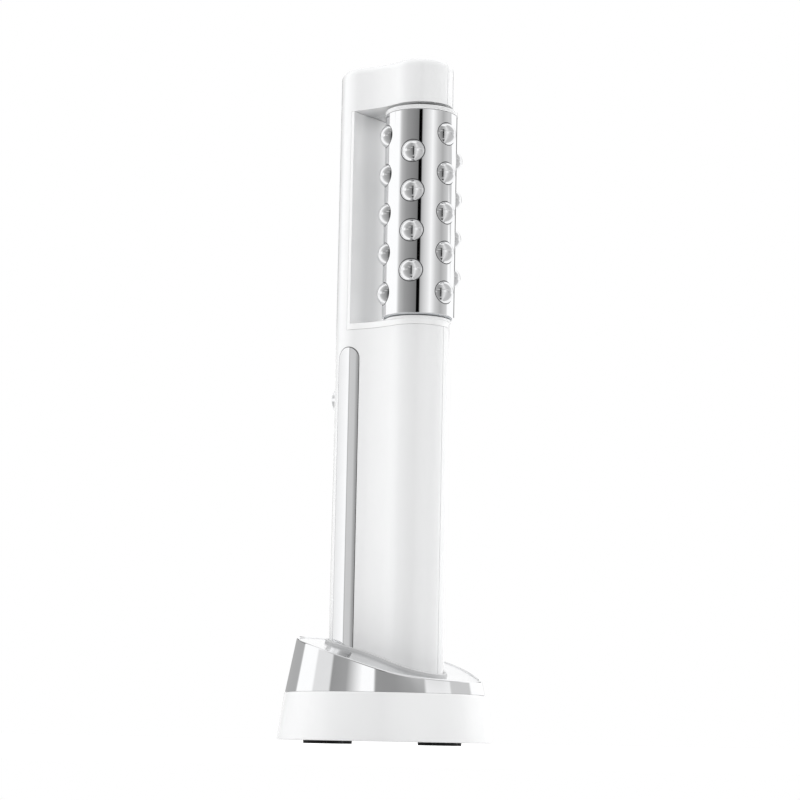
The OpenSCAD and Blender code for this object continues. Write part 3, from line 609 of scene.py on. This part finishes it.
def sill_collar():
    """Low ring on the sill that the roller's lower end turns over."""
    r_in, r_out = 6 * MM, ROLLER_R - 1 * MM
    z0 = Z_SEAM + SILL_T - 0.02 * MM
    z1 = z0 + 0.8 * MM
    bm = turned([(r_in, z0), (r_out, z0), (r_out, z1), (r_in, z1)], (0, ROLLER_Y), edge=0.15 * MM)
    return finish_piece("sill_collar", bm, "wand", white_gloss)


# ---- Roller ----

def roller_sleeve():
    """Polished tube that carries the studs."""
    r_in = ROLLER_R - SLEEVE_T
    z0, z1 = sleeve_low.z, sleeve_high.z
    bm = turned([(ROLLER_R, z0), (ROLLER_R, z1), (r_in, z1), (r_in, z0)], (0, ROLLER_Y), 256, edge=0.2 * MM)
    return finish_piece("roller_sleeve", bm, "roller", polished_chrome, ["roller_sleeve"])


def stud_places():
    """Where each stud goes, from a shape that lies on +Z: in columns, long and short in turn."""
    middle = (sleeve_low.z + sleeve_high.z) / 2
    for column in range(STUD_COLUMNS):
        rows = STUD_ROWS - column % 2
        for row in range(rows):
            yield (Matrix.Translation((0, ROLLER_Y, middle + (row - (rows - 1) / 2) * STUD_PITCH))
                   @ Matrix.Rotation(STUD_PHASE + column * 2 * math.pi / STUD_COLUMNS, 4, "Z")
                   @ Matrix.Rotation(math.pi / 2, 4, "Y"))


def massage_studs():
    """Round studs: balls sunk into the sleeve, cut off inside its wall."""
    dome = bmesh.new()
    pole = dome.verts.new((0, 0, STUD_R))
    bmesh.ops.spin(dome, geom=[pole], cent=(0, 0, 0), axis=(0, 1, 0), angle=STUD_SPAN, steps=18)
    bmesh.ops.spin(dome, geom=dome.verts[:] + dome.edges[:], cent=(0, 0, 0), axis=UP, angle=2 * math.pi,
                   steps=48, use_merge=True)
    bmesh.ops.remove_doubles(dome, verts=dome.verts, dist=NEAR)
    bmesh.ops.holes_fill(dome, edges=dome.edges)
    bmesh.ops.translate(dome, verts=dome.verts, vec=(0, 0, ROLLER_R + STUD_H - STUD_R))
    return finish_piece("massage_studs", stamped(dome, stud_places()), "roller", stud_chrome,
                        ["massage_studs"], sharp=50)


def stud_seats():
    """Fine dark joint round the foot of each stud."""
    ring = bmesh.new()
    for r in SEAT_R:
        bmesh.ops.create_circle(ring, cap_ends=False, segments=48, radius=r)
    bmesh.ops.bridge_loops(ring, edges=ring.edges[:])
    bmesh.ops.scale(ring, verts=ring.verts, vec=(1, SEAT_STRETCH, 1))
    top = doubled(ring)
    proud, sunk = 0.03 * MM, 0.1 * MM
    for v in ring.verts:
        r = ROLLER_R + proud if v in top else ROLLER_R - sunk
        v.co.z = math.sqrt(r ** 2 - v.co.y ** 2)
    return finish_piece("stud_seats", stamped(ring, stud_places()), "roller", dark_sealant,
                        sharp=50)


def roller_collar():
    """Ring on the roller's upper end, with two fine grooves."""
    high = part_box("roller_cap_upper")[1]
    r_in, r = 2.05 * MM, high.x
    z0, z1 = sleeve_high.z + SEAM, high.z
    groove = 0.18 * MM
    profile = [(r_in, z0), (r, z0)]
    for i in (1, 2):
        z = z0 + i * (z1 - z0) / 3
        profile += [(r, z - groove / 2), (r - groove, z), (r, z + groove / 2)]
    profile += [(r, z1), (r_in, z1)]
    bm = turned(profile, (0, ROLLER_Y), 192, edge=0.05 * MM, segments=2)
    return finish_piece("roller_collar", bm, "roller", white_gloss, ["roller_cap_upper"])


# ---- Cradle ----

def cradle_skirt():
    """Flared wall and the ledge on its top, with a mouth for the power inlet in the rear."""
    z0, z1 = skirt_low.z, skirt_high.z
    wall = 1.8 * MM
    ledge = BAND_R - BAND_T - 2 * MM
    bm = turned([(SKIRT_R0, z0), (SKIRT_R1, z1), (ledge, z1), (ledge, z1 - wall),
                 (SKIRT_R1 - wall, z1 - wall), (SKIRT_R0 - wall, z0)], steps=256, edge=0.35 * MM, segments=4)
    piece = finish_piece("cradle_skirt", bm, "cradle", white_gloss, ["cradle_skirt"])
    inlet_low, inlet_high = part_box("power_inlet")
    gap = 0.2 * MM
    mouth = bmesh.new()
    bmesh.ops.create_cube(mouth, size=1)
    span = inlet_high - inlet_low
    bmesh.ops.scale(mouth, verts=mouth.verts, vec=(span.x + gap, 12 * MM, span.z + gap))
    bmesh.ops.translate(mouth, verts=mouth.verts, vec=(0, SKIRT_R0, (inlet_low.z + inlet_high.z) / 2))
    return carve(piece, mouth)


def rim_height(y):
    """Height of the rim at y: a gentle arch behind the turn and a hollow sweep in front of it."""
    if y > RIM_TURN:
        middle = RIM_TURN + ARCH_R * math.sin(RIM_SLOPE)
        return RIM_Z - ARCH_R * math.cos(RIM_SLOPE) + math.sqrt(ARCH_R ** 2 - (y - middle) ** 2)
    middle = RIM_TURN - SWEEP_R * math.sin(RIM_SLOPE)
    return RIM_Z + SWEEP_R * math.cos(RIM_SLOPE) - math.sqrt(SWEEP_R ** 2 - (y - middle) ** 2)


def band_radius(z):
    """Radius of the band's cone at height z."""
    return BAND_R - BAND_TAPER * (z - band_low.z)


def on_rim(v, inset, drop):
    """Moves a vertex up its own side of the band's cone, to the rim's height less drop."""
    a = math.atan2(v.co.y, v.co.x)
    z = RIM_Z
    for _ in range(SETTLE):
        z = rim_height((band_radius(z) - inset) * math.sin(a)) - drop
    r = band_radius(z) - inset
    v.co = (r * math.cos(a), r * math.sin(a), z)


def cradle_band():
    """Polished ring: its foot is level, and its rim follows the sweep and has a rounded lip."""
    r_in, z0 = BAND_R - BAND_T, band_low.z
    bm = turned([(BAND_R, z0), (BAND_R, RIM_Z), (r_in, RIM_Z), (r_in, z0)], steps=256)
    for v in bm.verts:
        if v.co.z > RIM_Z - NEAR:
            on_rim(v, 0 if v.co.xy.length > BAND_R - BAND_T / 2 else BAND_T, 0)
    rim = [e for e in corners_of(bm) if all(v.co.z > z0 + NEAR for v in e.verts)]
    round_edges(bm, rim, BAND_LIP_R, 6)
    for face in bm.faces:
        middle = face.calc_center_median()
        face.material_index = middle.xy.length < band_radius(middle.z) - BAND_T + 0.1 * MM
    piece = finish_piece("cradle_band", bm, "cradle", polished_chrome, ["cradle_band"])
    piece.data.materials.append(white_liner)
    return piece


def cradle_deck():
    """Swept top plate inside the band, open around the wand."""
    inset = BAND_T + DECK_GAP
    outer_r = BAND_R - inset
    mouth_r = LOBE_Y + LOBE_R + WELL_GAP              # the opening's furthest reach
    bm = bmesh.new()
    bmesh.ops.create_circle(bm, cap_ends=False, segments=256, radius=outer_r)
    lobed_loop(bm, -WELL_GAP, 0)
    bmesh.ops.bridge_loops(bm, edges=bm.edges[:])
    for i in range(-DECK_CUTS, DECK_CUTS + 1):
        slice_y(bm, bm.faces[:], i * MM)
    top = doubled(bm)
    for v in bm.verts:
        drop = DECK_DROP if v in top else DECK_DROP + DECK_T
        r = v.co.xy.length
        out = max(0, (r - mouth_r) / (outer_r - mouth_r))     # 0 at the mouth, 1 at the band
        along = v.co.xy / r
        on_rim(v, inset, drop)
        r += out * (v.co.xy.length - outer_r)
        v.co.xy = along * r
        v.co.z = rim_height(v.co.y) - drop
    return finish_piece("cradle_deck", bm, "cradle", satin_chrome, ["cradle_deck"])


def well_lip():
    """Soft lip that stands on the deck round the wand and follows its sweep."""
    bm = bmesh.new()
    for outset in (LIP_GAP, LIP_GAP + LIP_T):
        lobed_loop(bm, -outset, 0)
    bmesh.ops.bridge_loops(bm, edges=bm.edges[:])
    top = doubled(bm)
    for v in bm.verts:
        v.co.z = rim_height(v.co.y) - DECK_DROP + (LIP_H if v in top else -DECK_T - LIP_ROOT)
    return finish_piece("well_lip", bm, "cradle", soft_grey, edge=0.2 * MM)


def rubber_feet():
    """Four round feet."""
    low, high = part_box("rubber_feet")
    foot = turned([(0, low.z), (FOOT_R, low.z), (FOOT_R, high.z), (0, high.z)], steps=64, edge=0.25 * MM,
                  closed=False)
    bearings = [FOOT_TURN + i * math.pi / 2 for i in range(4)]
    places = [Matrix.Translation((FOOT_RING * math.cos(a), FOOT_RING * math.sin(a), 0)) for a in bearings]
    return finish_piece("rubber_feet", stamped(foot, places), "cradle", black_rubber,
                        ["rubber_feet"])


def power_button():
    """Round key with a shallow dish, on the rear of the grip."""
    low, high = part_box("power_button")
    root, front = LOBE_Y + 7 * MM, high.y - 0.05 * MM
    bm = rod_y(KEY_R, root, front, (low.z + high.z) / 2, 96)
    face = max(bm.faces, key=lambda f: f.calc_center_median().y)
    round_edges(bm, list(face.edges), 0.3 * MM, 4)
    face = max(bm.faces, key=lambda f: f.calc_center_median().y)
    for step, depth in ((0.5, 0.0), (1.2, 0.12), (1.2, 0.08)):        # millimetres inwards and down
        bmesh.ops.inset_region(bm, faces=[face], thickness=step * MM, depth=-depth * MM)
    return finish_piece("power_button", bm, "button", polished_chrome, ["power_button"],
                        sharp=40)


for side in (-1, 1):
    handle_shell(side)
    contact_strip(side)
    strip_gasket(side)
roller_bay()
sill_collar()
roller_sleeve()
massage_studs()
stud_seats()
roller_collar()
cradle_skirt()
cradle_band()
cradle_deck()
well_lip()
rubber_feet()
power_button()

# CAD nodes that keep their own shape
NODE_FINISHES = {
    "cradle_well": white_satin, "base_plate": white_satin, "plate_screws": turned_steel,
    "ballast_ring": turned_steel, "charger_board": green_board, "sending_coil": copper_winding,
    "power_inlet": turned_steel, "foot_cap": white_gloss, "inner_frame": inner_nylon,
    "main_board": green_board, "battery_cell": cell_wrap, "vibration_motor": turned_steel,
    "eccentric_weight": brass_weight, "receiving_coil": copper_winding, "shell_screws": turned_steel,
    "button_switch": dark_nylon, "status_light": light_pipe, "roller_axle": turned_steel,
    "axle_bushes": dark_nylon, "roller_cap_lower": inner_nylon,
}
for node, finish in NODE_FINISHES.items():
    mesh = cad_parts[node].data
    mesh.materials.clear()
    mesh.materials.append(finish)


# ---- Camera ----

BEARING = math.radians(-53.7)             # the camera stands at the wand's left front
BACK = Vector((math.sin(BEARING), -math.cos(BEARING), 0))
RIGHT = Vector((math.cos(BEARING), math.sin(BEARING), 0))
TILT = math.radians(8.267)
ROLL = math.radians(1.138)
CAMERA_AT = BACK * 773 * MM + UP * 1.0 * MM + RIGHT * 3.0 * MM
FRAME_PX = 800                            # width of the picture
FOCAL_PX = 2352                           # focal length in the same pixels

camera = placed("camera", bpy.data.cameras.new("camera"))
bpy.context.scene.camera = camera
camera.data.lens = camera.data.sensor_width * FOCAL_PX / FRAME_PX
forward = UP * math.sin(TILT) - BACK * math.cos(TILT)
upright = UP * math.cos(TILT) + BACK * math.sin(TILT)
across = RIGHT * math.cos(ROLL) + upright * math.sin(ROLL)
upright = upright * math.cos(ROLL) - RIGHT * math.sin(ROLL)
turned_to = Matrix((across, upright, -forward)).transposed().to_4x4()
camera.matrix_world = Matrix.Translation(CAMERA_AT) @ turned_to


# ---- Floor, light and surroundings ----

WHITE = (1, 1, 1, 1)
FLOOR_HALF = 6                            # metres from the middle of the floor to its edge
FLOOR_GLOW = 0.06
FLOOR_GLOW_SEEN = 0.4                     # added to the floor's glow for the eye alone
SOFT_LEVEL = 0.76                         # strength of the even light from all round
BAND_ARC_Z = 0.0335                       # the arc that the leaning band reflects: its height behind the band
BAND_ARC_RISE = 0.3668                    # and how far it rises from there towards the camera
LOOK_AT = UP * 110 * MM                   # the wand's middle, which the lamps face


def build_floor():
    """Plain white floor that keeps the wand's soft shadow and isn't seen in polished metal."""
    material, nodes, links, _ = new_material("studio_floor")
    nodes.clear()
    out = nodes.new("ShaderNodeOutputMaterial")
    path = nodes.new("ShaderNodeLightPath")
    matt = nodes.new("ShaderNodeBsdfDiffuse")
    matt.inputs["Color"].default_value = (0.8, 0.8, 0.8, 1)
    glow = nodes.new("ShaderNodeEmission")
    seen = path.outputs["Is Camera Ray"]
    level = maths(nodes, links, "MULTIPLY_ADD", seen, FLOOR_GLOW_SEEN, FLOOR_GLOW)
    links.new(level, glow.inputs["Strength"])
    both = nodes.new("ShaderNodeAddShader")
    links.new(matt.outputs[0], both.inputs[0])
    links.new(glow.outputs[0], both.inputs[1])
    clear = nodes.new("ShaderNodeBsdfTransparent")
    links.new(either(nodes, links, path.outputs["Is Glossy Ray"], both.outputs[0], clear.outputs[0]),
              out.inputs["Surface"])
    bm = bmesh.new()
    bmesh.ops.create_grid(bm, x_segments=1, y_segments=1, size=FLOOR_HALF)
    mesh = bpy.data.meshes.new("floor")
    bm.to_mesh(mesh)
    bm.free()
    mesh.materials.append(material)
    floor = placed("floor", mesh)


def bearing_ramp(nodes, links, angle, stops):
    """Grey levels round the horizon: (degrees from the camera to its right, screen grey)."""
    ramp = nodes.new("ShaderNodeValToRGB")
    elements = ramp.color_ramp.elements
    while len(elements) > 1:
        elements.remove(elements[-1])
    for i, (degrees, grey) in enumerate(stops):
        place = degrees / 360 + 0.5
        stop = elements[0] if i == 0 else elements.new(place)
        stop.position = place
        linear = (grey / 255) ** 2.2                  # a screen's grey as light
        stop.color = (linear, linear, linear, 1)
    links.new(angle, ramp.inputs["Fac"])
    return ramp.outputs["Color"]


def studio_cards(nodes, links):
    """Grey cards that polished metal mirrors: rows round the horizon, one above the other."""
    place = nodes.new("ShaderNodeTexCoord")
    parts = {}
    for name, axis in (("along", BACK), ("side", RIGHT), ("height", UP)):
        dot = nodes.new("ShaderNodeVectorMath")
        dot.operation = "DOT_PRODUCT"
        dot.inputs[1].default_value = axis
        links.new(place.outputs["Generated"], dot.inputs[0])
        parts[name] = dot.outputs["Value"]
    turn = maths(nodes, links, "ARCTAN2", parts["side"], parts["along"])
    angle = spread(nodes, links, turn, 0.0, 1.0, -math.pi, math.pi)
    # the roller, the flat strip low down and the leaning band, along its own arc of reflections, each have
    # their cards; the studs see them all, and the wider ones above and below
    rear = [(-180, 265), (-165, 250), (-150, 225)]
    left = [(-127, 95), (-124, 268), (-75, 268), (-67, 210), (-60, 185), (-45, 158), (-31, 146)]
    slit = [(-15, 132), (-8, 122), (-7.5, 8), (2, 8), (4.5, 185)]
    right = [(14, 214), (27, 240), (37, 262), (55, 211), (74, 180), (100, 215), (107, 268), (150, 268)]
    left_round = [(-130, 95), (-126, 268), (-98, 264), (-84, 215), (-66, 185), (-45, 168), (-31, 160)]
    right_round = [(14, 208), (25, 232), (35, 236), (50, 208), (74, 196), (110, 205), (122, 262), (150, 268)]
    low_left = [(-127, 240), (-66.5, 268), (-66, 180), (-63.5, 180), (-63, 212), (-42, 208), (-34, 165)]
    spot = [(-24, 165), (-17, 45), (9, 45), (18, 200)]
    far_left = [(-180, 265), (-172, 265), (-169, 70), (-158, 80), (-152, 142), (-135, 130), (-130, 95)]
    far_right = [(158, 100), (169, 70), (172, 265)]
    end = [(180, 265)]
    rows = {
        "under": [(-180, 240), (180, 240)],
        "wide": rear + left_round + [(-15, 172), (5, 192)] + right_round + end,
        "spot": rear + left_round + spot + right_round[1:] + end,
        "level": rear + left_round + slit + right_round + end,
        "low": rear + low_left + slit + right + end,
        "roller": far_left + left + slit + right + far_right + end,
        "band": [(-180, 178), (-127, 178), (-124, 268), (-96, 268), (-93, 235), (-70.5, 235), (-67.5, 155),
                 (-48, 165), (-28, 268), (-14, 268), (-11, 155), (12, 152), (48, 172), (51, 255), (83, 255),
                 (86, 210), (118, 210), (122, 268), (165, 268), (180, 178)],
        "high": [(-180, 268), (180, 268)],
    }
    rows = {name: bearing_ramp(nodes, links, angle, stops) for name, stops in rows.items()}

    def blend(below, above, source, start, end):
        """One row up to start, the next from end."""
        return tint(nodes, links, spread(nodes, links, source, 0.0, 1.0, start, end), below, above)

    cards = rows["under"]
    for name, start, end in (("spot", -0.98, -0.97), ("wide", -0.86, -0.84), ("level", -0.72, -0.69),
                             ("low", -0.04, 0.03), ("roller", 0.166, 0.174), ("level", 0.28, 0.42),
                             ("wide", 0.62, 0.66), ("high", 0.94, 0.985)):
        cards = blend(cards, rows[name], parts["height"], start, end)
    climb = maths(nodes, links, "SUBTRACT", parts["height"], BAND_ARC_Z)
    climb = maths(nodes, links, "DIVIDE", climb, BAND_ARC_RISE)
    arc = maths(nodes, links, "COSINE", maths(nodes, links, "MULTIPLY", turn, 0.5))
    off = maths(nodes, links, "ABSOLUTE", maths(nodes, links, "SUBTRACT", climb, arc))
    return blend(rows["band"], cards, off, 0.055, 0.07)


def build_surroundings():
    """White to the eye, even for soft light, and grey cards for polished metal."""
    world = bpy.data.worlds.new("studio")
    bpy.context.scene.world = world
    world.use_nodes = True
    nodes, links = world.node_tree.nodes, world.node_tree.links
    nodes.clear()
    out = nodes.new("ShaderNodeOutputWorld")
    path = nodes.new("ShaderNodeLightPath")

    def sky(colour, strength):
        """Light from all round."""
        glow = nodes.new("ShaderNodeBackground")
        feed(links, glow.inputs["Color"], colour)
        glow.inputs["Strength"].default_value = strength
        return glow.outputs[0]

    plain = either(nodes, links, path.outputs["Is Camera Ray"], sky(WHITE, SOFT_LEVEL), sky(WHITE, 1.0))
    cards = sky(studio_cards(nodes, links), 1.0)
    links.new(either(nodes, links, path.outputs["Is Glossy Ray"], plain, cards), out.inputs["Surface"])


def softbox(name, bearing, distance, height, size, power):
    """Lamp at a bearing from the camera that faces the wand's middle, in degrees, metres and watts."""
    data = bpy.data.lights.new(name, "AREA")
    data.shape = "RECTANGLE"
    data.size, data.size_y = size
    data.energy = power
    lamp = placed(name, data)
    turn = math.radians(bearing)
    place = (BACK * math.cos(turn) + RIGHT * math.sin(turn)) * distance + UP * height
    lamp.location = place
    lamp.rotation_mode = "QUATERNION"
    lamp.rotation_quaternion = (LOOK_AT - place).to_track_quat("-Z", "Y")
    lamp.visible_glossy = False


build_floor()
build_surroundings()
softbox("left_box", -105, 1.0, 0.45, (0.5, 0.9), 3.9)
softbox("right_box", 115, 1.0, 0.45, (0.5, 0.9), 4.2)
softbox("top_box", 0, 0.25, 1.2, (0.7, 0.7), 4.2)
bpy.context.scene.view_settings.view_transform = "Standard"
